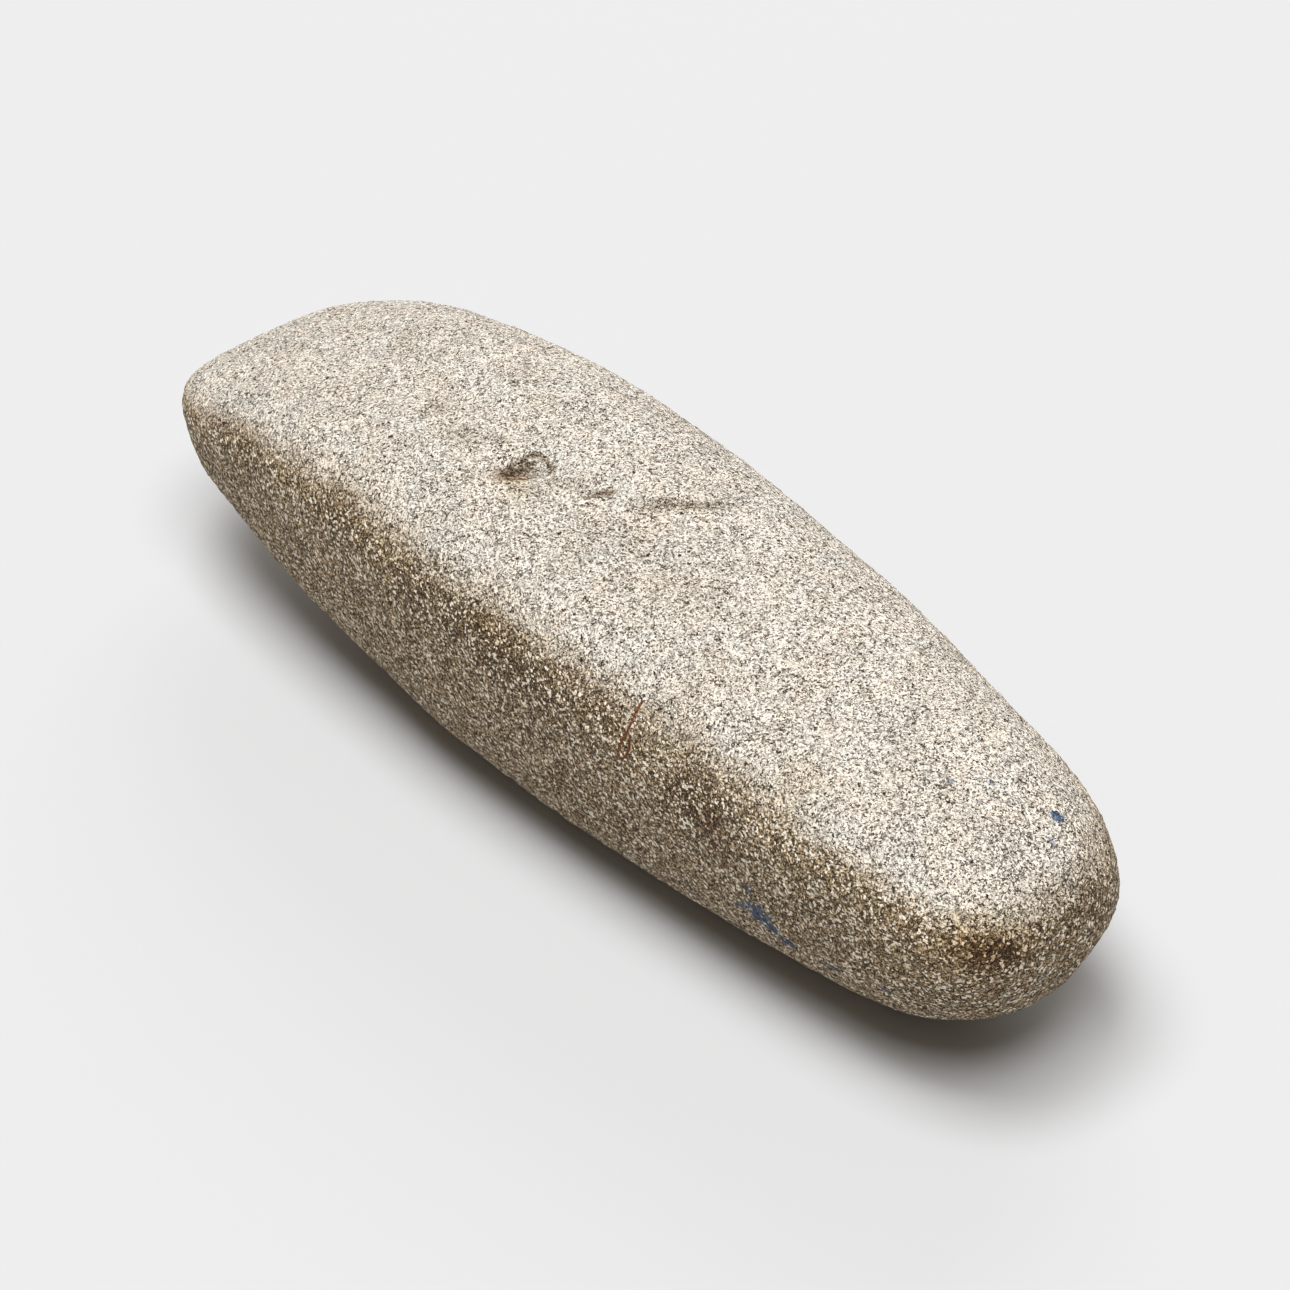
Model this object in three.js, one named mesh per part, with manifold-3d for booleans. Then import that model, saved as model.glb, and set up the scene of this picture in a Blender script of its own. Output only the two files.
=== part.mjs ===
// A stone axe head, pecked and ground to shape, lying on its underside as it does when it is loose.
// X runs along the head with the cutting edge at +X and the butt at -X, Y runs across and Z is up.
// Sizes are in millimetres. The origin is the middle of the base, where the flat spot meets the ground.

import * as THREE from "three";
import { mergeVertices } from "three/addons/utils/BufferGeometryUtils.js";
import Module from "manifold-3d";

// Overall sizes of the head
const headLength = 200;
const bodyWidth = 56.8;
const bodyThickness = 50.9;

// Width seen from above: where it is greatest, and what it falls to at each end before the corners round off
const widestFromMiddle = 14;
const edgeEndWidth = 44.8;
const buttEndWidth = 38.6;
const widthFallToEdge = 1.5;
const widthFallToButt = 1.74;

// Thickness seen from the side, in the same way
const thickestFromMiddle = 16;
const edgeEndThickness = 9.7;
const buttEndThickness = 35.6;
const thicknessFallToEdge = 2.16;
const thicknessFallToButt = 1.85;

// How far from each end the rounding begins, and how square it is: 2 is an ellipse, more is squarer
const buttSideRounding = 29.6;
const buttSideSquareness = 3.06;
const buttFaceRounding = 31.6;
const buttFaceSquareness = 2.57;
const edgeCornerRounding = 23.8;
const edgeCornerSquareness = 2.72;
const edgeRounding = 8.8;
const edgeBluntness = 2;

// Cross-section: squareness of the two sides and of the two broad faces, how it changes to the ends,
// and how much crisper the upper ridge on the +Y side is than the other three
const sideSquareness = 3.14;
const faceSquareness = 2.55;
const squarerAtEdge = 0.08;
const rounderAtButt = 1.14;
const ridgeCrispness = 0.97;
const ridgeCrisperAtEdge = 1.02;
const ridgeCrisperAtButt = 0.93;
const topWiderThanBase = 0.08;

// The ends aren't square to the head: the cutting edge is an arc, and the butt's face is hollow and leans
const edgeArc = 5.3;
const edgeSkew = 1.6;
const buttHollow = 1;
const buttSkew = 1.9;
const buttLean = 5.5;
const sidewaysBow = 0.2;
const downwardBow = 0.1;

// Wear: the hollow worn into the ridge, the pit in the upper face and the unevenness of the hand grinding
const ridgeHollow = { along: -44, across: 23.3, up: 16.7, length: 14.3, girth: 6.4, depth: 1 };
const upperPit = { along: 17, across: 6, up: 25.3, length: 4.5, girth: 4, depth: 1.1 };
const unevenness = 0.15;
const unevennessLength = 46;
const unevennessGirth = 31;

// How the head lies on the ground, and the flat spot that it rests on
const edgeUpTilt = 1.25;
const sidewaysRoll = 3.8;
const restSpotDepth = 0.4;

// Fineness of the surface: faces along the head, across each of its four sides, and where the ends begin
const facesAlong = 56;
const facesAcross = 16;
const endFaceShare = 0.7;
const endCrowding = 0.5;
const cornerCrowding = 0.3;

// Colour and finish of the stone
const stoneColour = 0xc3b8a6;
const stoneRoughness = 0.9;

const halfLength = headLength / 2;
const halfWidth = bodyWidth / 2;
const halfThickness = bodyThickness / 2;

// A half size that is greatest at one place and falls to the end's share by a power of the way there.
function swelling(x, peak, half, edgeHalf, edgePower, buttHalf, buttPower) {
  if (x >= peak) {
    return half - (half - edgeHalf) * ((x - peak) / (halfLength - peak)) ** edgePower;
  }
  return half - (half - buttHalf) * ((peak - x) / (halfLength + peak)) ** buttPower;
}

// The share of its full size that a section has at a distance from the end, inside the rounding.
function rounding(distance, reach, squareness) {
  const inside = Math.min(Math.max(1 - distance / reach, 0), 1);
  return (1 - inside ** squareness) ** (1 / squareness);
}

// The distance from the end at which the rounding leaves that share.
function distanceOfShare(share, reach, squareness) {
  return reach * (1 - (1 - share ** squareness) ** (1 / squareness));
}

// Crowds evenly spaced marks from -1 to 1 towards the two ends.
function crowded(mark, amount) {
  return mark * (1 + amount - amount * mark * mark);
}

// A point of the section's outline for a point (across, up) on the rim of a square from -1 to 1.
function onOutline(across, up, acrossPower, upPower) {
  const angle = Math.atan2(Math.abs(up) ** (upPower / 2), Math.abs(across) ** (acrossPower / 2));
  return [
    Math.sign(across) * Math.cos(angle) ** (2 / acrossPower),
    Math.sign(up) * Math.sin(angle) ** (2 / upPower),
  ];
}

// Place of one point of a cube from -1 to 1 when the cube becomes the head: the cube's two ends
// along X become the butt's face and the cutting edge, and its four sides become the body.
function headPoint(cubeX, cubeY, cubeZ) {
  const across = crowded(cubeY, cornerCrowding);
  const up = crowded(cubeZ, cornerCrowding);
  const rim = Math.max(Math.abs(across), Math.abs(up));

  // Where the point stands along the head: the body's stations, or a ring within an end face
  const share = endFaceShare * rim;
  const buttDistance = distanceOfShare(share, buttSideRounding, buttSideSquareness);
  const edgeDistance = distanceOfShare(share, edgeCornerRounding, edgeCornerSquareness);
  const low = buttDistance - halfLength;
  const high = halfLength - edgeDistance;
  const along = (low + high) / 2 + (high - low) / 2 * crowded(cubeX, endCrowding);

  // The half sizes of the section there
  const toButtEnd = halfLength + along;
  const toEdgeEnd = halfLength - along;
  const halfAcross = swelling(
    along, widestFromMiddle, halfWidth, edgeEndWidth / 2, widthFallToEdge, buttEndWidth / 2, widthFallToButt)
    * rounding(toButtEnd, buttSideRounding, buttSideSquareness)
    * rounding(toEdgeEnd, edgeCornerRounding, edgeCornerSquareness);
  const halfUp = swelling(
    along, thickestFromMiddle, halfThickness,
    edgeEndThickness / 2, thicknessFallToEdge, buttEndThickness / 2, thicknessFallToButt)
    * rounding(toButtEnd, buttFaceRounding, buttFaceSquareness)
    * rounding(toEdgeEnd, edgeRounding, edgeBluntness);

  // The section's outline, squarer towards the edge and rounder towards the butt, with its crisper ridge
  const toEdge = Math.max(along / halfLength, 0);
  const toButt = Math.max(-along / halfLength, 0);
  let change = squarerAtEdge * toEdge ** 2 - rounderAtButt * toButt ** 2;
  if (across > 0 && up > 0) {
    change += ridgeCrispness + ridgeCrisperAtEdge * toEdge ** 2 + ridgeCrisperAtButt * toButt ** 2;
  }
  const outline = rim > 0
    ? onOutline(across / rim, up / rim, sideSquareness + change, faceSquareness + change)
    : [0, 0];
  const y = halfAcross * outline[0] * (1 + topWiderThanBase * outline[1]);
  const z = halfUp * outline[1];

  // The arc and lean of the ends, and the slight bow of the whole head
  const sideShare = y / halfWidth;
  const heightShare = z / halfThickness;
  const edgeShift = (edgeSkew * sideShare - edgeArc * sideShare ** 2) * toEdge ** 3;
  const buttShift = (buttSkew * sideShare + buttHollow * sideShare ** 2 + buttLean * heightShare) * toButt ** 3;
  const bow = 1 - (along / halfLength) ** 2;
  return [along + edgeShift - buttShift, y - sidewaysBow * bow, z - downwardBow * bow];
}

// How deep a worn hollow is at a point.
function hollowDepth(hollow, point) {
  const along = (point.x - hollow.along) / hollow.length;
  const girth = Math.hypot(point.y - hollow.across, point.z - hollow.up) / hollow.girth;
  return hollow.depth * Math.exp(-(along ** 2) - girth ** 2);
}

// How far the hand-ground surface stands above or below the even form at a point.
function groundUnevenness(point) {
  const turn = 2 * Math.PI;
  const long = Math.sin(turn * (point.x / unevennessLength + point.z / headLength));
  const round = Math.cos(turn * (point.y / unevennessGirth + point.x / headLength));
  return unevenness * long * round;
}

// The even form: a cube whose points are moved to the head, with its normals.
function evenHead() {
  const cube = new THREE.BoxGeometry(2, 2, 2, facesAlong, facesAcross, facesAcross);
  cube.deleteAttribute("normal");
  cube.deleteAttribute("uv");
  const head = mergeVertices(cube);
  const places = head.attributes.position;
  for (let i = 0; i < places.count; i++) {
    places.setXYZ(i, ...headPoint(places.getX(i), places.getY(i), places.getZ(i)));
  }
  head.computeVertexNormals();
  return head;
}

// The worn form: each point of the even form moves along its normal.
function wornHead() {
  const head = evenHead();
  const places = head.attributes.position;
  const normals = head.attributes.normal;
  const point = new THREE.Vector3();
  const normal = new THREE.Vector3();
  for (let i = 0; i < places.count; i++) {
    point.fromBufferAttribute(places, i);
    normal.fromBufferAttribute(normals, i);
    let lift = groundUnevenness(point);
    for (const hollow of [ridgeHollow, upperPit]) {
      lift -= hollowDepth(hollow, point);
    }
    point.addScaledVector(normal, lift);
    places.setXYZ(i, point.x, point.y, point.z);
  }
  head.deleteAttribute("normal");
  return head;
}

// Booleans work on closed meshes whose points are shared.
const wasm = await Module();
wasm.setup();

function asSolid(geometry) {
  return new wasm.Manifold(new wasm.Mesh({
    numProp: 3,
    vertProperties: new Float32Array(geometry.attributes.position.array),
    triVerts: new Uint32Array(geometry.index.array),
  }));
}

function asGeometry(solid) {
  const mesh = solid.getMesh();
  const geometry = new THREE.BufferGeometry();
  geometry.setAttribute("position", new THREE.BufferAttribute(mesh.vertProperties, 3));
  geometry.setIndex(new THREE.BufferAttribute(mesh.triVerts, 1));
  return geometry;
}

// The head turned as it lies, with the flat spot cut where it rests, and set down on the ground.
function lyingHead() {
  const head = wornHead();
  head.rotateX(THREE.MathUtils.degToRad(-sidewaysRoll));
  head.rotateY(THREE.MathUtils.degToRad(-edgeUpTilt));
  head.computeBoundingBox();
  const ground = new THREE.BoxGeometry(headLength, headLength, bodyThickness);
  ground.deleteAttribute("normal");
  ground.deleteAttribute("uv");
  const groundTop = head.boundingBox.min.z + restSpotDepth;
  ground.translate(0, 0, groundTop - bodyThickness / 2);
  const geometry = asGeometry(asSolid(head).subtract(asSolid(mergeVertices(ground))));
  geometry.computeBoundingBox();
  const middle = geometry.boundingBox.getCenter(new THREE.Vector3());
  geometry.translate(-middle.x, -middle.y, -groundTop);
  return geometry;
}

const stone = new THREE.MeshStandardMaterial({ color: stoneColour, roughness: stoneRoughness, metalness: 0 });
const axeHead = new THREE.Mesh(lyingHead(), stone);
axeHead.name = "axe_head";

const group = new THREE.Group();
group.add(axeHead);

export default group;
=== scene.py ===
from math import cos, pi, radians, sin

import bpy
from mathutils import Euler, Matrix, Vector


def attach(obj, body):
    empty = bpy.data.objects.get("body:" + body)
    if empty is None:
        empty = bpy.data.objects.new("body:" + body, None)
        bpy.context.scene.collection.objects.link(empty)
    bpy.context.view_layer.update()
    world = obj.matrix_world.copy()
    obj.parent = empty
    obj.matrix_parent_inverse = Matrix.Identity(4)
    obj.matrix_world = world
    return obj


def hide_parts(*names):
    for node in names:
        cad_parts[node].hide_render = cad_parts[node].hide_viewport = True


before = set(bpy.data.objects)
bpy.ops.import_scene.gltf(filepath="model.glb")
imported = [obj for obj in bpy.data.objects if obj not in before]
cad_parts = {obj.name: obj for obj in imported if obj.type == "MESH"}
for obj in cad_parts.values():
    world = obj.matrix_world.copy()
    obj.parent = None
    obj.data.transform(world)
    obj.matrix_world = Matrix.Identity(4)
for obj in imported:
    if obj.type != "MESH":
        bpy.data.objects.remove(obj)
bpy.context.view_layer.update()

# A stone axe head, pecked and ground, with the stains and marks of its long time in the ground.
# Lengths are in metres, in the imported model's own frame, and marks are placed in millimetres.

MM = 0.001
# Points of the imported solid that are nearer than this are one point
SAME_POINT = 0.001 * MM

bl_info = {
    "name": "Pecked Stone Axe Head",
    "version": (1, 0, 0),
    "blender": (4, 5, 0),
    "location": "3D View > Sidebar > Axe Head",
    "description": "Dresses the packed axe head with pecked relief and weathered stone, and sets its stage",
    "category": "Object",
}


def linear(hex_colour):
    """The linear RGBA of an sRGB hex colour."""
    channels = []
    for start in (1, 3, 5):
        value = int(hex_colour[start:start + 2], 16) / 255
        channels.append(value / 12.92 if value <= 0.04045 else ((value + 0.055) / 1.055) ** 2.4)
    return (*channels, 1.0)


def add_node(tree, kind, inputs=None, **settings):
    """Add a node with its settings. An input is given a value or the output that is linked to it."""
    node = tree.nodes.new(kind)
    for name, value in settings.items():
        setattr(node, name, value)
    for name, value in (inputs or {}).items():
        if isinstance(value, bpy.types.NodeSocket):
            tree.links.new(value, node.inputs[name])
        else:
            node.inputs[name].default_value = value
    return node


def only_select(piece):
    """Select this object alone and make it the active one."""
    bpy.ops.object.select_all(action="DESELECT")
    piece.select_set(True)
    bpy.context.view_layer.objects.active = piece


def apply_modifier(piece, name, kind, **settings):
    """Add a modifier, set it and apply it."""
    only_select(piece)
    modifier = piece.modifiers.new(name, kind)
    for setting, value in settings.items():
        setattr(modifier, setting, value)
    bpy.ops.object.modifier_apply(modifier=modifier.name)


class StoneShape(bpy.types.PropertyGroup):
    """Sizes of the relief that pecking, grinding and wear left on the head."""

    mesh_step: bpy.props.FloatProperty(
        name="Mesh step", description="Spacing of the surface's points", default=0.66 * MM, unit="LENGTH")
    grinding_width: bpy.props.FloatProperty(
        name="Grinding width", description="Width of the faint flats left by grinding", default=16 * MM,
        unit="LENGTH")
    grinding_depth: bpy.props.FloatProperty(
        name="Grinding depth", description="Height of those flats", default=0.5 * MM, unit="LENGTH")
    peck_width: bpy.props.FloatProperty(
        name="Peck width", description="Width of one peck mark", default=3.0 * MM, unit="LENGTH")
    peck_depth: bpy.props.FloatProperty(
        name="Peck depth", description="Depth of one peck mark", default=0.2 * MM, unit="LENGTH")
    grit_width: bpy.props.FloatProperty(
        name="Grit width", description="Width of the grit between pecks", default=1.0 * MM, unit="LENGTH")
    grit_depth: bpy.props.FloatProperty(
        name="Grit depth", description="Height of the grit", default=0.45 * MM, unit="LENGTH")
    pit_depth: bpy.props.FloatProperty(
        name="Pit depth", description="Depth of the pit in the upper face", default=0.8 * MM, unit="LENGTH")


class StoneGrain(bpy.types.PropertyGroup):
    """Widths of the patterns that colour the stone and roughen it more finely than the mesh does."""

    grain_width: bpy.props.FloatProperty(
        name="Grain width", description="Width of one mineral grain", default=0.27 * MM, unit="LENGTH")
    grain_bend: bpy.props.FloatProperty(
        name="Grain bend", description="How far the grains' edges waver", default=0.4 * MM, unit="LENGTH")
    bend_width: bpy.props.FloatProperty(
        name="Bend width", description="Length of one waver", default=0.5 * MM, unit="LENGTH")
    crystal_width: bpy.props.FloatProperty(
        name="Crystal width", description="Width of one clean crystal", default=0.4 * MM, unit="LENGTH")
    gap_spacing: bpy.props.FloatProperty(
        name="Gap spacing", description="Spacing of the gaps between grains", default=0.3 * MM,
        unit="LENGTH")
    stroke_spacing: bpy.props.FloatProperty(
        name="Stroke spacing", description="Spacing of the thin winding gaps", default=0.7 * MM,
        unit="LENGTH")
    bump_width: bpy.props.FloatProperty(
        name="Bump width", description="Width of the finest bumps", default=0.5 * MM, unit="LENGTH")
    bump_height: bpy.props.FloatProperty(
        name="Bump height", description="Height of the finest bumps", default=0.9 * MM, unit="LENGTH")
    ragged_width: bpy.props.FloatProperty(
        name="Ragged width", description="Width of the rags at a stain's edge", default=1.2 * MM,
        unit="LENGTH")
    tint_width: bpy.props.FloatProperty(
        name="Tint width", description="Width of the pink and grey patches", default=6.0 * MM, unit="LENGTH")
    cloud_width: bpy.props.FloatProperty(
        name="Cloud width", description="Width of the faint clouds of soil", default=7.0 * MM, unit="LENGTH")


class StoneFinish(bpy.types.PropertyGroup):
    """Colours of the stone's minerals and of what has settled on it, with painted shade in the gaps and on
    the sides and painted highlights on crystals.
    """

    dark_mineral: bpy.props.FloatVectorProperty(
        name="Dark mineral", description="Mica and hornblende", subtype="COLOR", size=4,
        default=linear("#5e5545"))
    grey_mineral: bpy.props.FloatVectorProperty(
        name="Grey mineral", description="Grey quartz", subtype="COLOR", size=4, default=linear("#a39c93"))
    cream_mineral: bpy.props.FloatVectorProperty(
        name="Cream mineral", description="Feldspar", subtype="COLOR", size=4, default=linear("#ddd5cb"))
    white_mineral: bpy.props.FloatVectorProperty(
        name="White mineral", description="Milky quartz", subtype="COLOR", size=4, default=linear("#f3ede4"))
    # Crystals and painted highlights: bright grains, shown most on the sides where they stand for grains
    # catching the light
    crystal: bpy.props.FloatVectorProperty(
        name="Crystal", description="Clean crystals that stand out", subtype="COLOR", size=4,
        default=linear("#faeed9"))
    # Soil and painted shade: the dark colour of the gaps between the grains
    soil: bpy.props.FloatVectorProperty(
        name="Soil", description="Earth left between the grains", subtype="COLOR", size=4,
        default=linear("#382510"))
    # Brown film and painted shade: it warms and darkens all that turns away from the upper face
    side_film_and_shade: bpy.props.FloatVectorProperty(
        name="Side film", description="Brown film over the grains of the sides", subtype="COLOR", size=4,
        default=linear("#f7e4c4"))
    stain_film: bpy.props.FloatVectorProperty(
        name="Stain film", description="Darker film over stained grains", subtype="COLOR", size=4,
        default=linear("#b7ab98"))
    pink_tint: bpy.props.FloatVectorProperty(
        name="Pink tint", description="Feldspar-rich patches", subtype="COLOR", size=4,
        default=linear("#fffaf3"))
    grey_tint: bpy.props.FloatVectorProperty(
        name="Grey tint", description="Quartz-rich patches", subtype="COLOR", size=4,
        default=linear("#f7f8f5"))
    rust: bpy.props.FloatVectorProperty(
        name="Rust", description="Brown mineral stain", subtype="COLOR", size=4, default=linear("#a3743f"))
    ochre: bpy.props.FloatVectorProperty(
        name="Ochre", description="Yellow mineral stain", subtype="COLOR", size=4, default=linear("#f0e0bc"))
    root: bpy.props.FloatVectorProperty(
        name="Root trace", description="Dried rootlet's mark", subtype="COLOR", size=4,
        default=linear("#703f1a"))
    paint: bpy.props.FloatVectorProperty(
        name="Paint", description="Specks of blue paint", subtype="COLOR", size=4, default=linear("#30557a"))


class StageSetting(bpy.types.PropertyGroup):
    """The camera's place, the floor and the light."""

    view_azimuth: bpy.props.FloatProperty(
        name="View azimuth", description="0 looks along +Y", default=radians(233.51), subtype="ANGLE")
    view_elevation: bpy.props.FloatProperty(
        name="View elevation", description="Height of the camera as an angle", default=radians(34.97),
        subtype="ANGLE")
    view_roll: bpy.props.FloatProperty(
        name="View roll", description="Lean of the camera", default=radians(-1.65), subtype="ANGLE")
    view_distance: bpy.props.FloatProperty(
        name="View distance", description="From the camera to its aim", default=880.3 * MM, unit="LENGTH")
    view_aim: bpy.props.FloatVectorProperty(
        name="View aim", description="What the camera looks at", default=(-2.04 * MM, -1.0 * MM, 24.1 * MM),
        unit="LENGTH")
    lens: bpy.props.FloatProperty(
        name="Lens", description="Focal length on a 36 mm wide sensor, in millimetres", default=162.7)
    floor_width: bpy.props.FloatProperty(
        name="Floor width", description="Width of the square floor", default=8.0, unit="LENGTH")
    floor_colour: bpy.props.FloatVectorProperty(
        name="Floor colour", description="Matte pale floor", subtype="COLOR", size=4,
        default=linear("#bcbcbc"))
    top_azimuth: bpy.props.FloatProperty(
        name="Top lamp azimuth", description="Side that the lamp above leans to, from +X",
        default=radians(60), subtype="ANGLE")
    top_elevation: bpy.props.FloatProperty(
        name="Top lamp elevation", description="Height of the lamp above as an angle",
        default=radians(80), subtype="ANGLE")
    top_width: bpy.props.FloatProperty(
        name="Top lamp width", description="Width of the lamp above", default=1.55, unit="LENGTH")
    top_power: bpy.props.FloatProperty(
        name="Top lamp power", description="Power of the lamp above in watts", default=68.0)
    top_distance: bpy.props.FloatProperty(
        name="Top lamp distance", description="From the lamp above to the head", default=3.0, unit="LENGTH")
    front_azimuth: bpy.props.FloatProperty(
        name="Front lamp azimuth", description="Side that the lamp in front stands on, from +X",
        default=radians(150), subtype="ANGLE")
    front_elevation: bpy.props.FloatProperty(
        name="Front lamp elevation", description="Height of the lamp in front as an angle",
        default=radians(65), subtype="ANGLE")
    front_width: bpy.props.FloatProperty(
        name="Front lamp width", description="Width of the lamp in front", default=1.55, unit="LENGTH")
    front_power: bpy.props.FloatProperty(
        name="Front lamp power", description="Power of the lamp in front in watts", default=67.0)
    front_distance: bpy.props.FloatProperty(
        name="Front lamp distance", description="From the lamp in front to the head", default=3.0,
        unit="LENGTH")
    back_azimuth: bpy.props.FloatProperty(
        name="Back lamp azimuth", description="Side that the lamp behind stands on, from +X",
        default=radians(-48), subtype="ANGLE")
    back_elevation: bpy.props.FloatProperty(
        name="Back lamp elevation", description="Height of the lamp behind as an angle",
        default=radians(30), subtype="ANGLE")
    back_width: bpy.props.FloatProperty(
        name="Back lamp width", description="Width of the lamp behind", default=1.0, unit="LENGTH")
    back_power: bpy.props.FloatProperty(
        name="Back lamp power", description="Power of the lamp behind in watts", default=6.5)
    back_distance: bpy.props.FloatProperty(
        name="Back lamp distance", description="From the lamp behind to the head", default=1.4,
        unit="LENGTH")
    lamp_colour: bpy.props.FloatVectorProperty(
        name="Lamp colour", description="Light of the three lamps", subtype="COLOR", size=3,
        default=(0.98, 0.997, 1.02))
    room_strength: bpy.props.FloatProperty(
        name="Room light", description="Strength of the even light of the room", default=0.22)
    room_colour: bpy.props.FloatVectorProperty(
        name="Room colour", description="Warm light that the room sends back", subtype="COLOR", size=4,
        default=(1.12, 0.985, 0.86, 1.0))


def mark(place, half, turn=0, ragged=1.2, soft=0.6, strength=0.5):
    """A mark on the head: its place, the half sizes of its ellipsoid in millimetres and its turn about Z
    in degrees, how ragged and how soft its edge is as shares of those half sizes, and its strength."""
    return {"place": place, "half": half, "turn": turn, "ragged": ragged, "soft": soft, "strength": strength}


PIT = mark((17.2, 6.6, 49.9), (4.6, 3.0, 3.0), turn=49)
SOIL_STAINS = (
    # The pit, and the small pits and smudges beside it
    mark((16.6, 6.6, 49.9), (4.2, 2.4, 3), turn=49, strength=0.3),
    mark((17.8, 7.4, 49.9), (2.6, 0.9, 3), turn=60, strength=0.6),
    mark((3.4, 3.0, 50.4), (2.4, 0.9, 2), turn=60, strength=0.5),
    mark((8.0, 4.0, 50.2), (3.0, 1.6, 2), turn=50, soft=1.0, strength=0.25),
    mark((-8.4, -6.9, 50.2), (5.6, 1.2, 2), turn=50, soft=0.8, strength=0.35),
    mark((-4.6, -2.3, 50.3), (3.2, 1.4, 2), turn=52, soft=0.8, strength=0.3),
    mark((30.3, 8.7, 50.2), (3.6, 2.2, 2), turn=40, soft=1.0, strength=0.3),
    mark((24.9, 6.1, 50.4), (2.4, 1.2, 2), turn=40, soft=1.0, strength=0.3),
    mark((38.8, 7.1, 49.7), (2.6, 1.6, 2), turn=40, soft=1.0, strength=0.3),
    mark((62.1, -2.6, 46.4), (6.0, 1.2, 3), turn=-58, soft=1.0, strength=0.3),
    mark((79.4, 4.7, 41.0), (3.0, 2.0, 3), soft=1.0, strength=0.2),
    mark((-8.0, 8.0, 50.0), (7, 5, 3), turn=30, soft=1.0, strength=0.14),
    mark((-22.0, 8.0, 49.5), (5, 4, 3), turn=30, soft=1.0, strength=0.16),
    # The dark bands below the ridge
    mark((68.0, 25.8, 36.5), (8, 5, 3.4), soft=0.8, strength=0.22),
    mark((35.9, 27.9, 39.0), (6, 5, 4.0), soft=0.8, strength=0.24),
    mark((12.0, 28.9, 37.5), (12, 6, 4.5), soft=0.8, strength=0.22),
    mark((-4.7, 28.4, 37.0), (9, 6, 4.5), soft=0.8, strength=0.34),
    mark((-19.0, 27.5, 36.5), (8, 6, 4.0), soft=0.8, strength=0.22),
    mark((-49.0, 25.3, 32.0), (8, 6, 5.5), soft=0.8, strength=0.36),
    # The upper rim of the butt
    mark((-98.5, 11.2, 30.2), (4, 5.0, 3.0), soft=0.8, strength=0.45),
    mark((-98.0, -4.0, 33.5), (3, 7, 2.6), soft=1.0, strength=0.24),
)
RUST_STAINS = (
    mark((-51.2, 25.3, 31.6), (3.4, 4, 1.6), soft=0.8, strength=0.5),
    mark((-54.5, 25.0, 28.2), (4.0, 4, 2.2), soft=0.8, strength=0.4),
    mark((-98.2, 13.0, 30.2), (4, 3.4, 2.4), soft=0.8, strength=0.5),
    mark((-100.2, 8.3, 28.8), (3, 1.6, 1.4), soft=0.8, strength=0.4),
    mark((-98.0, 11.3, 22.6), (3, 1.2, 0.8), soft=0.5, strength=0.6),
    mark((-99.0, -5.7, 30.0), (2, 1.6, 1.4), soft=0.8, strength=0.4),
    mark((75.5, 24.4, 36.4), (2.4, 2, 1.2), soft=0.6, strength=0.4),
    mark((17.0, 9.0, 49.8), (3.0, 1.6, 3), turn=60, soft=0.6, strength=0.6),
    mark((2.7, 1.6, 50.4), (1.6, 0.8, 2), turn=60, soft=0.5, strength=0.6),
)
OCHRE_STAINS = (
    mark((-3.6, 28.0, 40.2), (5, 4, 2.4), soft=1.0, strength=0.45),
    mark((24.0, 28.1, 40.7), (6, 4, 2.6), soft=1.0, strength=0.3),
    mark((36.9, 27.0, 41.9), (4, 4, 2.4), soft=1.0, strength=0.3),
    mark((64.8, 26.0, 38.0), (5, 4, 2.0), soft=1.0, strength=0.25),
    mark((-63.6, 18.8, 42.4), (4, 4, 3), soft=1.0, strength=0.3),
    mark((15.6, 9.4, 49.7), (2.8, 1.4, 3), turn=60, soft=0.8, strength=0.8),
    mark((12.5, 10.9, 49.7), (2.0, 2.6, 2), soft=0.8, strength=0.35),
    mark((-97.6, 13.2, 31.0), (5, 5.6, 3.6), soft=1.0, strength=0.8),
)
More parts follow.
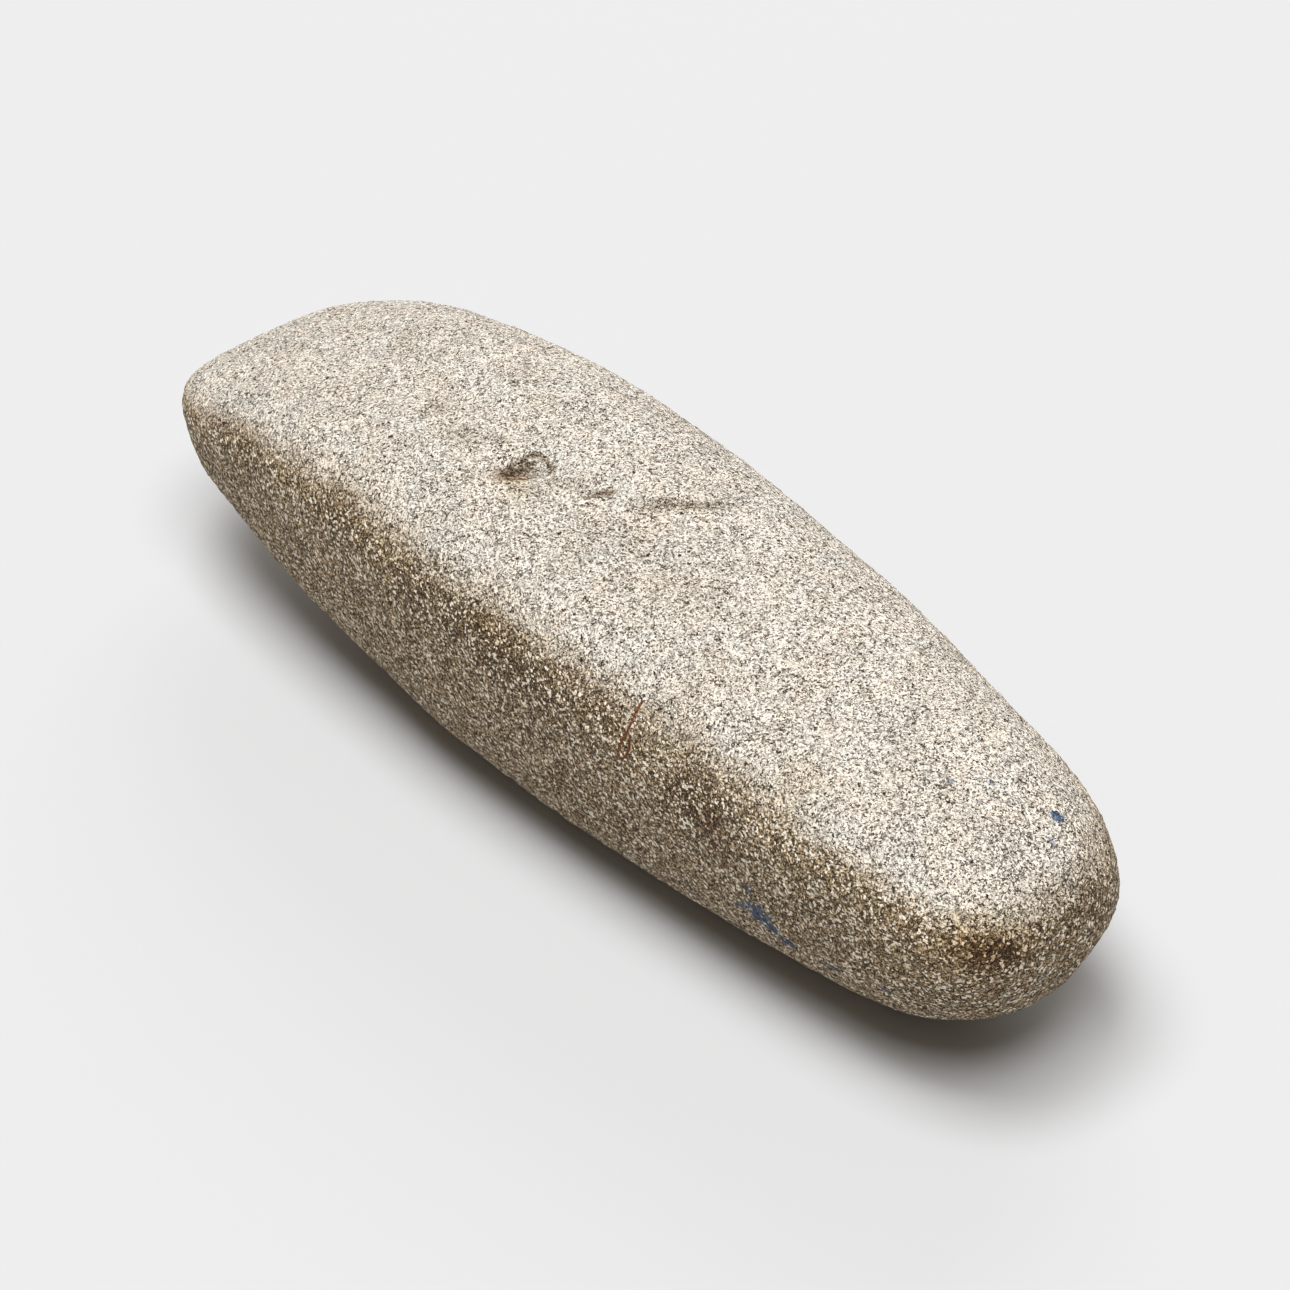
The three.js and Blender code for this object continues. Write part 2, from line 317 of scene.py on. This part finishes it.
PAINT_SPECKS = (
    # Single specks on the upper face near the butt
    mark((-89.5, -7.4, 39.3), (1.2, 0.9, 0.9), ragged=1.8, soft=0.15, strength=0.95),
    mark((-92.6, -3.8, 38.3), (0.8, 0.5, 0.6), ragged=1.6, soft=0.3, strength=0.6),
    mark((-77.9, 2.5, 43.4), (0.6, 0.6, 0.8), ragged=1.6, soft=0.3, strength=0.6),
    mark((-81.2, -2.3, 42.9), (0.6, 0.5, 0.7), ragged=1.6, soft=0.3, strength=0.6),
    mark((-79.1, -7.0, 43.1), (0.7, 0.5, 0.6), ragged=1.6, soft=0.3, strength=0.5),
    # The broken smear low on the side, and specks on the butt
    mark((-58.2, 23.9, 23.1), (0.9, 2, 0.6), ragged=1.6, soft=0.3, strength=0.7),
    mark((-55.0, 23.1, 17.9), (1.2, 2, 0.8), ragged=1.8, soft=0.3, strength=0.6),
    mark((-60.2, 23.0, 19.6), (2.2, 2, 1.6), ragged=1.8, soft=0.3, strength=0.8),
    mark((-57.6, 23.1, 18.7), (2.0, 2, 1.2), ragged=1.8, soft=0.4, strength=0.6),
    mark((-59.6, 22.6, 17.2), (1.8, 2, 1.2), ragged=1.8, soft=0.4, strength=0.7),
    mark((-62.0, 22.4, 17.4), (1.5, 2, 0.9), ragged=1.6, soft=0.3, strength=0.9),
    mark((-64.6, 21.4, 15.9), (1.7, 2, 0.8), ragged=1.6, soft=0.3, strength=0.9),
    mark((-72.6, 20.2, 15.9), (1.4, 2, 0.7), ragged=1.6, soft=0.3, strength=0.6),
    mark((-83.6, 18.9, 17.8), (1.1, 1.2, 0.6), ragged=1.6, soft=0.3, strength=0.7),
    mark((-98.1, 8.4, 20.0), (1.0, 1.1, 0.7), ragged=1.6, soft=0.3, strength=0.6),
    mark((-99.6, 3.7, 22.2), (1.0, 0.9, 0.6), ragged=1.6, soft=0.3, strength=0.6),
)

# Lines on the head, as the points that they pass in millimetres, and how wide and how soft they are
ROOT_TRACE = (
    ((-33.9, 23.6, 42.1), (-33.8, 24.8, 40.3), (-33.6, 25.6, 38.8), (-33.4, 25.9, 37.8), (-32.5, 26.5, 35.4),
     (-32.1, 26.8, 33.8), (-32.9, 26.7, 33.0), (-33.7, 26.6, 33.8), (-34.3, 26.3, 35.2), (-34.2, 26.1, 36.9),
     (-33.4, 25.9, 37.8)),
)
ROOT_HALF_WIDTH = 0.15
ROOT_SOFT = 0.2
# Lines on the upper face are given as seen from above
PIT_RIM = (
    # The pit's rim is darkened as brown deposit and as painted shade of its wall
    ((17.7, 10.5, 0), (18.8, 8.5, 0), (19.3, 6.3, 0), (18.9, 4.4, 0), (18.1, 3.1, 0), (16.3, 2.9, 0),
     (13.9, 3.4, 0), (13.1, 4.9, 0)),
    ((17.4, 9.6, 0), (18.1, 8.0, 0), (18.2, 5.7, 0), (17.3, 4.3, 0)),
    ((16.6, 10.2, 0), (15.5, 9.1, 0), (14.9, 7.7, 0)),
)
PIT_RIM_HALF_WIDTH = 0.25
PIT_RIM_SOFT = 0.35
PIT_RIM_STRENGTH = 0.7
SCRATCHES = (
    ((21.5, 15.8, 0), (19.7, 14.0, 0)),
    ((3.6, 5.0, 0), (3.5, 2.8, 0), (2.6, 0.7, 0)),
    ((-3.8, 0.5, 0), (-5.5, -3.4, 0), (-8.5, -7.1, 0), (-11.2, -12.0, 0)),
    ((-3.4, -2.6, 0), (-8.2, -5.5, 0), (-11.0, -9.3, 0)),
)
SCRATCH_HALF_WIDTH = 0.05
SCRATCH_SOFT = 0.5
SCRATCH_STRENGTH = 0.32

# The share of grains that is darker than each mineral, from dark to white, on the upper face and the sides;
# the sides' larger share of dark grains is painted shade
UPPER_SHARES = (0.05, 0.18, 0.36, 0.75)
SIDE_SHARES = (0.3, 0.52, 0.7, 0.95)
# The share of the larger cells that are clean crystals, the share of the grains, from the darkest on,
# that paint has flaked off, and how strongly the broken faces of the grains are tilted
CRYSTAL_SHARE = 0.16
FLAKED_SHARE = 0.3
FACET_TILT = 1.2

# How far up the surface faces on the upper face and on the sides, between which the painted shade grows: 1
# is level and 0 is upright
UPPER_FACING = 0.85
SIDE_FACING = 0.2


def spot_mask(tree, place_mm, ragged_noise, spot):
    """A mask that has the mark's strength inside its ellipsoid, with a ragged, soft edge."""
    local = add_node(tree, "ShaderNodeMapping", {
        "Vector": place_mm,
        "Location": spot["place"],
        "Rotation": (0, 0, radians(spot["turn"])),
        "Scale": spot["half"],
    }, vector_type="TEXTURE")
    distance = add_node(tree, "ShaderNodeVectorMath", {0: local.outputs[0]}, operation="LENGTH")
    ragged = add_node(tree, "ShaderNodeMath", {
        0: ragged_noise, 1: spot["ragged"], 2: distance.outputs["Value"]}, operation="MULTIPLY_ADD")
    edge = 1 + spot["ragged"] / 2
    mask = add_node(tree, "ShaderNodeMapRange", {
        "Value": ragged.outputs[0],
        "From Min": edge + spot["soft"],
        "From Max": edge - spot["soft"],
        "To Min": 0.0,
        "To Max": spot["strength"],
    }, interpolation_type="SMOOTHSTEP")
    return mask.outputs["Result"]


def lay_marks(tree, colour, marks, tint, blend, place_mm, ragged_noise):
    """Lay a tint over the colour in each of the marks."""
    for spot in marks:
        mixed = add_node(tree, "ShaderNodeMix", {
            "Factor": spot_mask(tree, place_mm, ragged_noise, spot),
            6: colour,
            7: tint,
        }, data_type="RGBA", blend_type=blend)
        colour = mixed.outputs[2]
    return colour


def line_mask(tree, place_mm, lines, half_width, soft):
    """A mask that is 1 on the lines, which are rows of points, and falls to 0 beside them."""
    nearest = None
    for line in lines:
        for start, end in zip(line, line[1:]):
            along = Vector(end) - Vector(start)
            half = along.length / 2
            # Seen from the stretch's middle, with X along it
            local = add_node(tree, "ShaderNodeMapping", {
                "Vector": place_mm,
                "Location": (Vector(start) + Vector(end)) / 2,
                "Rotation": along.to_track_quat("X", "Z").to_euler(),
            }, vector_type="TEXTURE")
            # The two caps leave the nearest point on the stretch
            capped = add_node(tree, "ShaderNodeVectorMath", {
                0: local.outputs[0], 1: (half, 0, 0)}, operation="MINIMUM")
            on_line = add_node(tree, "ShaderNodeVectorMath", {
                0: capped.outputs[0], 1: (-half, 0, 0)}, operation="MAXIMUM")
            distance = add_node(tree, "ShaderNodeVectorMath", {
                0: local.outputs[0], 1: on_line.outputs[0]}, operation="DISTANCE")
            if nearest is None:
                nearest = distance.outputs["Value"]
            else:
                closer = add_node(tree, "ShaderNodeMath", {
                    0: nearest, 1: distance.outputs["Value"]}, operation="MINIMUM")
                nearest = closer.outputs[0]
    mask = add_node(tree, "ShaderNodeMapRange", {
        "Value": nearest, "From Min": half_width + soft, "From Max": half_width,
    }, interpolation_type="SMOOTHSTEP")
    return mask.outputs["Result"]


def side_share(tree, place):
    """How far the surface turns away from the upper face: 0 on it and 1 on the sides and below. It sets how
    much painted shade and painted highlight the colour gets.
    """
    facing = add_node(tree, "ShaderNodeSeparateXYZ", {"Vector": place.outputs["Normal"]})
    side = add_node(tree, "ShaderNodeMapRange", {
        "Value": facing.outputs["Z"], "From Min": UPPER_FACING, "From Max": SIDE_FACING,
    }, interpolation_type="SMOOTHSTEP")
    return side.outputs["Result"]


def stain_and_shade_amount(tree, place_mm, bent_mm, ragged_noise, sizes):
    """How much soil has stained the stone: it varies in clouds all over, and most is in the stains. The
    pit's rim adds brown deposit and painted shade.
    """
    clouds = add_node(tree, "ShaderNodeTexNoise", {
        "Vector": place_mm, "Scale": MM / sizes.cloud_width, "Detail": 4.0, "Roughness": 0.6})
    total = add_node(tree, "ShaderNodeMath", {
        0: clouds.outputs["Fac"], 1: 0.6, 2: -0.25}, operation="MULTIPLY_ADD")
    for spot in SOIL_STAINS:
        total = add_node(tree, "ShaderNodeMath", {
            0: total.outputs[0], 1: spot_mask(tree, place_mm, ragged_noise, spot)}, operation="ADD")
    from_above = add_node(tree, "ShaderNodeVectorMath", {0: bent_mm, 1: (1, 1, 0)}, operation="MULTIPLY")
    # The pit's rim: brown deposit and painted shade
    rim_mask = line_mask(tree, from_above.outputs[0], PIT_RIM, PIT_RIM_HALF_WIDTH, PIT_RIM_SOFT)
    rim = add_node(tree, "ShaderNodeMath", {
        0: rim_mask, 1: PIT_RIM_STRENGTH, 2: total.outputs[0]}, operation="MULTIPLY_ADD")
    scratch_mask = line_mask(tree, from_above.outputs[0], SCRATCHES, SCRATCH_HALF_WIDTH, SCRATCH_SOFT)
    scratch = add_node(tree, "ShaderNodeMath", {
        0: scratch_mask, 1: SCRATCH_STRENGTH, 2: rim.outputs[0]}, operation="MULTIPLY_ADD")
    limited = add_node(tree, "ShaderNodeClamp", {"Value": scratch.outputs[0]})
    return limited.outputs["Result"]


def grain_ramp(tree, chance, finish, shares):
    """Colour of the grains by chance, where each mineral's share is that of the grains darker than it."""
    ramp = add_node(tree, "ShaderNodeValToRGB", {"Fac": chance})
    minerals = (finish.dark_mineral, finish.grey_mineral, finish.cream_mineral, finish.white_mineral)
    elements = ramp.color_ramp.elements
    while len(elements) < len(minerals):
        elements.new(0.5)
    for element, share, mineral in zip(elements, shares, minerals):
        element.position = share
        element.color = mineral
    return ramp.outputs["Color"]


def grain_colour(tree, chance, place_mm, side, stain, finish, sizes):
    """Colour of the grains: mostly pale on the upper face, more dark ones under a brown film on the sides as
    painted shade, in faintly pink and grey patches, and darker where soil has stained them."""
    # The sides and underside draw on more dark grains: painted shade
    upper_grains = grain_ramp(tree, chance, finish, UPPER_SHARES)
    side_grains = grain_ramp(tree, chance, finish, SIDE_SHARES)
    grain = add_node(tree, "ShaderNodeMix", {
        "Factor": side, 6: upper_grains, 7: side_grains}, data_type="RGBA")
    # A brown film that is also painted shade, laid over the sides and underside
    filmed_and_shaded = add_node(tree, "ShaderNodeMix", {
        "Factor": side, 6: grain.outputs[2], 7: finish.side_film_and_shade}, data_type="RGBA", blend_type="MULTIPLY")
    tints = add_node(tree, "ShaderNodeTexNoise", {
        "Vector": place_mm, "Scale": MM / sizes.tint_width, "Detail": 3.0})
    tint = add_node(tree, "ShaderNodeMapRange", {
        "Value": tints.outputs["Fac"], "From Min": 0.35, "From Max": 0.65})
    tinted = add_node(tree, "ShaderNodeMix", {
        "Factor": tint.outputs["Result"], 6: finish.pink_tint, 7: finish.grey_tint}, data_type="RGBA")
    mottled = add_node(tree, "ShaderNodeMix", {
        "Factor": 1.0, 6: filmed_and_shaded.outputs[2], 7: tinted.outputs[2]}, data_type="RGBA", blend_type="MULTIPLY")
    stained = add_node(tree, "ShaderNodeMix", {
        "Factor": stain, 6: mottled.outputs[2], 7: finish.stain_film,
    }, data_type="RGBA", blend_type="MULTIPLY")
    return stained.outputs[2]


def soil_and_shade_gaps(tree, place_mm, ragged_noise, stain, side, sizes):
    """Mask of the gaps between the grains that hold soil and painted shade: short ones that are wider on
    the sides and in the stains, and thin ones that wind about among them. Real gaps are finer than the
    render shows, so these are drawn just wide enough to show. The wider gaps of the sides are painted shade."""
    fine = add_node(tree, "ShaderNodeTexNoise", {
        "Vector": place_mm, "Scale": MM / sizes.gap_spacing, "Detail": 0.3, "Distortion": 1.2})
    stain_gap = add_node(tree, "ShaderNodeMath", {
        0: stain, 1: -0.24, 2: fine.outputs["Fac"]}, operation="MULTIPLY_ADD")
    # Wider gaps on the sides add painted shade
    side_gap = add_node(tree, "ShaderNodeMath", {
        0: side, 1: -0.1, 2: stain_gap.outputs[0]}, operation="MULTIPLY_ADD")
    gap = add_node(tree, "ShaderNodeMapRange", {
        "Value": side_gap.outputs[0], "From Min": 0.31, "From Max": 0.29}, interpolation_type="SMOOTHSTEP")

    # A noise passes its middle value along winding lines, and the rags cut those short
    winding = add_node(tree, "ShaderNodeTexNoise", {
        "Vector": place_mm, "Scale": MM / sizes.stroke_spacing, "Detail": 0.0, "Distortion": 0.8})
    from_middle = add_node(tree, "ShaderNodeMath", {
        0: winding.outputs["Fac"], 1: 0.5}, operation="SUBTRACT")
    beside = add_node(tree, "ShaderNodeMath", {0: from_middle.outputs[0]}, operation="ABSOLUTE")
    thin = add_node(tree, "ShaderNodeMapRange", {
        "Value": beside.outputs[0], "From Min": 0.05, "From Max": 0.03})
    short = add_node(tree, "ShaderNodeMapRange", {
        "Value": ragged_noise, "From Min": 0.5, "From Max": 0.55})
    stroke = add_node(tree, "ShaderNodeMath", {
        0: thin.outputs["Result"], 1: short.outputs["Result"]}, operation="MULTIPLY")
    either = add_node(tree, "ShaderNodeMath", {
        0: stroke.outputs[0], 1: gap.outputs["Result"]}, operation="MAXIMUM")
    return either.outputs[0]


def crystal_and_highlight_mask(tree, bent_mm, side, sizes):
    """Mask of the larger clean crystals, which show most on the brown sides, where they are also painted
    highlights.
    """
    crystals = add_node(tree, "ShaderNodeTexVoronoi", {
        "Vector": bent_mm, "Scale": MM / sizes.crystal_width})
    chance = add_node(tree, "ShaderNodeSeparateColor", {"Color": crystals.outputs["Color"]})
    clean = add_node(tree, "ShaderNodeMath", {
        0: chance.outputs["Red"], 1: 1 - CRYSTAL_SHARE}, operation="GREATER_THAN")
    # Fuller on the sides, as painted highlights
    shown = add_node(tree, "ShaderNodeMapRange", {"Value": side, "To Min": 0.2, "To Max": 1.0})
    crystal = add_node(tree, "ShaderNodeMath", {
        0: clean.outputs[0], 1: shown.outputs["Result"]}, operation="MULTIPLY")
    return crystal.outputs[0]


def grain_facing(tree, place_mm, cells, chance, sizes):
    """The way each spot of the surface faces: fine bumps, each grain a little higher or lower than its
    neighbours, and its broken face tilted a way of its own, so that single grains catch the light. Bumps
    as fine as these are drawn higher than they are, so that they show."""
    bumps = add_node(tree, "ShaderNodeTexNoise", {
        "Vector": place_mm, "Scale": MM / sizes.bump_width, "Detail": 1.0, "Roughness": 0.6})
    height = add_node(tree, "ShaderNodeMath", {
        0: chance.outputs["Green"], 1: 0.05, 2: bumps.outputs["Fac"]}, operation="MULTIPLY_ADD")
    relief = add_node(tree, "ShaderNodeBump", {
        "Strength": 1.0, "Distance": sizes.bump_height, "Height": height.outputs[0]})
    tilt = add_node(tree, "ShaderNodeVectorMath", {
        0: cells, 1: (0.5, 0.5, 0.5)}, operation="SUBTRACT")
    facet = add_node(tree, "ShaderNodeVectorMath", {
        0: tilt.outputs[0],
        1: (FACET_TILT, FACET_TILT, FACET_TILT),
        2: relief.outputs["Normal"],
    }, operation="MULTIPLY_ADD")
    facing = add_node(tree, "ShaderNodeVectorMath", {0: facet.outputs[0]}, operation="NORMALIZE")
    return facing.outputs[0]


def pecked_stone(finish, sizes):
    """Fine-grained granite, pecked with a hammerstone and ground: matte, speckled and pitted,
    so that it looks like coarse sandpaper, pale where it faces the light and, in painted shade, brown on the
    sides and below."""
    material = bpy.data.materials.new("granite_pecked_and_ground")
    material.use_nodes = True
    tree = material.node_tree
    tree.nodes.clear()

    # Places in millimetres, a noise that tears the edges of stains, and places bent so that no grain
    # looks cut
    place = add_node(tree, "ShaderNodeTexCoord")
    in_mm = add_node(tree, "ShaderNodeMapping", {
        "Vector": place.outputs["Object"], "Scale": (1 / MM, 1 / MM, 1 / MM)})
    place_mm = in_mm.outputs[0]
    ragged = add_node(tree, "ShaderNodeTexNoise", {
        "Vector": place_mm, "Scale": MM / sizes.ragged_width, "Detail": 3.0})
    ragged_noise = ragged.outputs["Fac"]
    waver = add_node(tree, "ShaderNodeTexNoise", {
        "Vector": place_mm, "Scale": MM / sizes.bend_width, "Detail": 1.0})
    centred = add_node(tree, "ShaderNodeVectorMath", {
        0: waver.outputs["Color"], 1: (0.5, 0.5, 0.5)}, operation="SUBTRACT")
    bend_mm = sizes.grain_bend / MM
    bent = add_node(tree, "ShaderNodeVectorMath", {
        0: centred.outputs[0], 1: (bend_mm, bend_mm, bend_mm), 2: place_mm}, operation="MULTIPLY_ADD")
    bent_mm = bent.outputs[0]
    side = side_share(tree, place)
    stain = stain_and_shade_amount(tree, place_mm, bent_mm, ragged_noise, sizes)

    # Grains a little over a quarter of a millimetre wide, with soil and painted shade between them and
    # crystals, partly painted highlights, among them
    grains = add_node(tree, "ShaderNodeTexVoronoi", {"Vector": bent_mm, "Scale": MM / sizes.grain_width})
    chance = add_node(tree, "ShaderNodeSeparateColor", {"Color": grains.outputs["Color"]})
    soiled_and_shaded = add_node(tree, "ShaderNodeMix", {
        "Factor": soil_and_shade_gaps(tree, place_mm, ragged_noise, stain, side, sizes),
        6: grain_colour(tree, chance.outputs["Red"], place_mm, side, stain, finish, sizes),
        7: finish.soil,
    }, data_type="RGBA")
    speckled = add_node(tree, "ShaderNodeMix", {
        "Factor": crystal_and_highlight_mask(tree, bent_mm, side, sizes), 6: soiled_and_shaded.outputs[2], 7: finish.crystal,
    }, data_type="RGBA")

    # Stains soak in, and the paint has flaked off the darkest grains
    colour = lay_marks(
        tree, speckled.outputs[2], OCHRE_STAINS, finish.ochre, "MULTIPLY", place_mm, ragged_noise)
    colour = lay_marks(tree, colour, RUST_STAINS, finish.rust, "MULTIPLY", place_mm, ragged_noise)
    painted = lay_marks(tree, colour, PAINT_SPECKS, finish.paint, "MIX", place_mm, ragged_noise)
    bare = add_node(tree, "ShaderNodeMath", {
        0: chance.outputs["Red"], 1: FLAKED_SHARE}, operation="LESS_THAN")
    flaked = add_node(tree, "ShaderNodeMix", {
        "Factor": bare.outputs[0], 6: painted, 7: colour}, data_type="RGBA")
    rooted = add_node(tree, "ShaderNodeMix", {
        "Factor": line_mask(tree, bent_mm, ROOT_TRACE, ROOT_HALF_WIDTH, ROOT_SOFT),
        6: flaked.outputs[2],
        7: finish.root,
    }, data_type="RGBA")

    shader = add_node(tree, "ShaderNodeBsdfPrincipled", {
        "Base Color": rooted.outputs[2],
        "Roughness": 0.88,
        "Specular IOR Level": 0.3,
        "IOR": 1.54,
        "Normal": grain_facing(tree, place_mm, grains.outputs["Color"], chance, sizes),
    })
    add_node(tree, "ShaderNodeOutputMaterial", {"Surface": shader.outputs["BSDF"]})
    return material


def matte_paper(colour):
    """White backdrop paper, calendered but unglazed: plain, matte and without gloss."""
    material = bpy.data.materials.new("paper_matte_white")
    material.use_nodes = True
    shader = material.node_tree.nodes["Principled BSDF"]
    shader.inputs["Base Color"].default_value = colour
    shader.inputs["Roughness"].default_value = 1.0
    shader.inputs["Specular IOR Level"].default_value = 0.0
    return material


def displace(piece, name, kind, width, depth, **settings):
    """Raise and lower the surface along its normals by a procedural pattern of a width."""
    texture = bpy.data.textures.new(name, kind)
    texture.noise_scale = width
    for setting, value in settings.items():
        setattr(texture, setting, value)
    apply_modifier(
        piece, name, "DISPLACE", texture=texture, texture_coords="LOCAL", direction="NORMAL",
        strength=depth, mid_level=0.5)


class AXEHEAD_OT_make_head(bpy.types.Operator):
    """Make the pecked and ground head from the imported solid"""

    bl_idname = "axehead.make_head"
    bl_label = "Make Head"

    def execute(self, context):
        scene = context.scene
        shape = scene.stone_shape
        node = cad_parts["axe_head"]
        head = bpy.data.objects.new("stone_axe_head", node.data.copy())
        scene.collection.objects.link(head)
        only_select(head)
        bpy.ops.object.mode_set(mode="EDIT")
        bpy.ops.mesh.select_all(action="SELECT")
        bpy.ops.mesh.remove_doubles(threshold=SAME_POINT)
        bpy.ops.object.mode_set(mode="OBJECT")
        apply_modifier(head, "even_mesh", "REMESH", mode="VOXEL", voxel_size=shape.mesh_step)
        apply_modifier(head, "no_facets", "SMOOTH", factor=0.5, iterations=14)
        displace(head, "grinding", "CLOUDS", shape.grinding_width, shape.grinding_depth, noise_depth=2)
        displace(head, "pecking", "VORONOI", shape.peck_width, shape.peck_depth,
                 distance_metric="DISTANCE_SQUARED")
        displace(head, "grit", "CLOUDS", shape.grit_width, shape.grit_depth, noise_depth=2)
        self.sink_pit(head, shape.pit_depth)
        self.flatten_base(head)
        only_select(head)
        bpy.ops.object.shade_smooth()
        head.data.materials.clear()
        head.data.materials.append(pecked_stone(scene.stone_finish, scene.stone_grain))
        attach(head, "root")
        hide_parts("axe_head")
        return {"FINISHED"}

    def sink_pit(self, head, depth):
        """Sink the natural pit in the upper face: level inside its ellipse, with steep walls."""
        steepness = 6
        reach_of_walls = 1.6
        middle = Vector(PIT["place"]) * MM
        turn = Matrix.Rotation(radians(-PIT["turn"]), 3, "Z")
        for vertex in head.data.vertices:
            local = turn @ (vertex.co - middle)
            reach = Vector([local[axis] / (PIT["half"][axis] * MM) for axis in range(3)]).length
            if reach < reach_of_walls:
                vertex.co.z -= depth / (1 + reach ** steepness)

    def flatten_base(self, head):
        """Keep the resting spot level with the floor."""
        for vertex in head.data.vertices:
            vertex.co.z = max(vertex.co.z, 0.0)


class AXEHEAD_OT_make_stage(bpy.types.Operator):
    """Make the pale floor, the three soft lamps, the room's light and the camera"""

    bl_idname = "axehead.make_stage"
    bl_label = "Make Stage"

    def execute(self, context):
        stage = context.scene.stage_setting
        self.make_floor(context, stage)
        for name in ("top", "front", "back"):
            self.make_lamp(context, stage, name)
        self.make_room(context, stage)
        self.make_camera(context, stage)
        context.scene.view_settings.view_transform = "Standard"
        return {"FINISHED"}

    def make_floor(self, context, stage):
        """Lay the floor that the head lies on."""
        bpy.ops.object.select_all(action="DESELECT")
        bpy.ops.mesh.primitive_plane_add(size=stage.floor_width, location=(0, 0, 0))
        floor = context.active_object
        floor.name = "floor"
        floor.data.materials.append(matte_paper(stage.floor_colour))

    def make_lamp(self, context, stage, name):
        """Set up one of the round soft lamps, facing the head."""
        azimuth = getattr(stage, name + "_azimuth")
        elevation = getattr(stage, name + "_elevation")
        toward = Vector((cos(elevation) * cos(azimuth), cos(elevation) * sin(azimuth), sin(elevation)))
        bpy.ops.object.light_add(
            type="AREA", location=toward * getattr(stage, name + "_distance"),
            rotation=(pi / 2 - elevation, 0, azimuth + pi / 2))
        lamp = context.active_object
        lamp.name = name + "_lamp"
        lamp.data.shape = "DISK"
        lamp.data.size = getattr(stage, name + "_width")
        lamp.data.energy = getattr(stage, name + "_power")
        lamp.data.color = stage.lamp_colour

    def make_room(self, context, stage):
        """Set the even light that the room sends back from all sides."""
        world = bpy.data.worlds.new("room")
        world.use_nodes = True
        room = world.node_tree.nodes["Background"]
        room.inputs["Color"].default_value = stage.room_colour
        room.inputs["Strength"].default_value = stage.room_strength
        context.scene.world = world

    def make_camera(self, context, stage):
        """Stand the camera where the head is seen as in the photo."""
        turn = Euler((pi / 2 - stage.view_elevation, 0, stage.view_azimuth)).to_matrix()
        turn = turn @ Matrix.Rotation(stage.view_roll, 3, "Z")
        back = turn.col[2]
        bpy.ops.object.camera_add(
            location=Vector(stage.view_aim) + back * stage.view_distance, rotation=turn.to_euler())
        camera = context.active_object
        camera.name = "camera"
        camera.data.sensor_width = 36
        camera.data.lens = stage.lens
        context.scene.camera = camera


class AXEHEAD_PT_panel(bpy.types.Panel):
    """Sizes, colours and steps of the axe head"""

    bl_label = "Axe Head"
    bl_idname = "AXEHEAD_PT_panel"
    bl_space_type = "VIEW_3D"
    bl_region_type = "UI"
    bl_category = "Axe Head"

    def draw(self, context):
        layout = self.layout
        for operator in OPERATORS:
            layout.operator(operator.bl_idname)
        for name in GROUPS:
            group = getattr(context.scene, name)
            box = layout.box()
            for setting in group.__annotations__:
                box.prop(group, setting)


OPERATORS = (AXEHEAD_OT_make_head, AXEHEAD_OT_make_stage)
GROUPS = {
    "stone_shape": StoneShape,
    "stone_grain": StoneGrain,
    "stone_finish": StoneFinish,
    "stage_setting": StageSetting,
}
CLASSES = (*GROUPS.values(), *OPERATORS, AXEHEAD_PT_panel)


def register():
    for each in CLASSES:
        bpy.utils.register_class(each)
    for name, group in GROUPS.items():
        setattr(bpy.types.Scene, name, bpy.props.PointerProperty(type=group))


def unregister():
    for name in GROUPS:
        delattr(bpy.types.Scene, name)
    for each in reversed(CLASSES):
        bpy.utils.unregister_class(each)


def main():
    register()
    bpy.ops.axehead.make_head()
    bpy.ops.axehead.make_stage()


if __name__ == "__main__":
    main()
